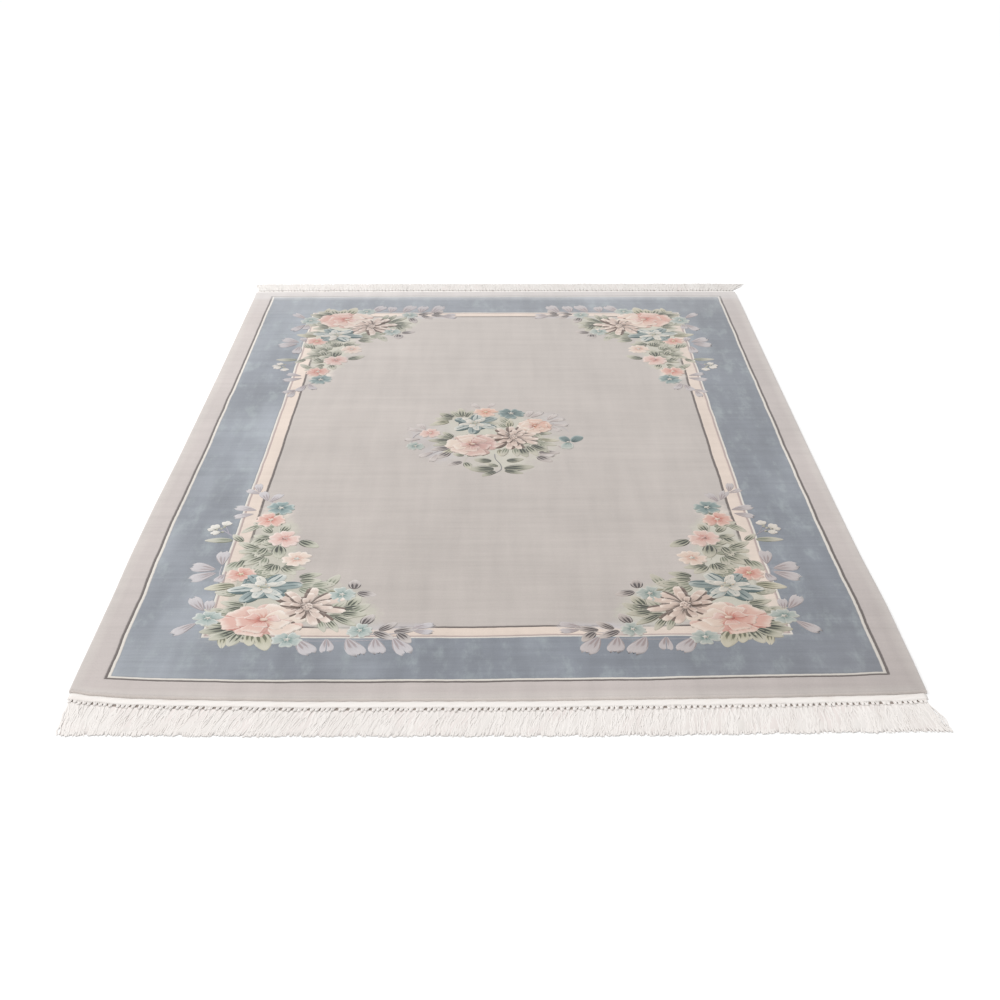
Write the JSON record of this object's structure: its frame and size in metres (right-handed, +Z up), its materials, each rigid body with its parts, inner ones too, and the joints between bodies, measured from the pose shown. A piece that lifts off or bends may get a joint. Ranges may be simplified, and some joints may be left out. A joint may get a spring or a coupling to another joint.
{
  "type": "chinese silk rug with end fringes",
  "caption": "Rectangular knotted pile rug lying flat, with a floral border and a woven web and loose fringe at each end.",
  "frame": {"origin": "on the floor, under the middle of the box around the rug and its fringes", "axes": "+Y along the rug's length to its far end, +X across its width, +Z up out of the pile"},
  "size_m": [1.8872, 2.9916, 0.01],
  "materials": {
    "silk_pile": "cut silk pile with a soft sheen",
    "cotton_warp": "matt unbleached cotton warp"
  },
  "bodies": {
    "root": {"pile_field": "silk_pile", "fringe_near": "cotton_warp", "fringe_far": "cotton_warp"}
  },
  "joints": []
}
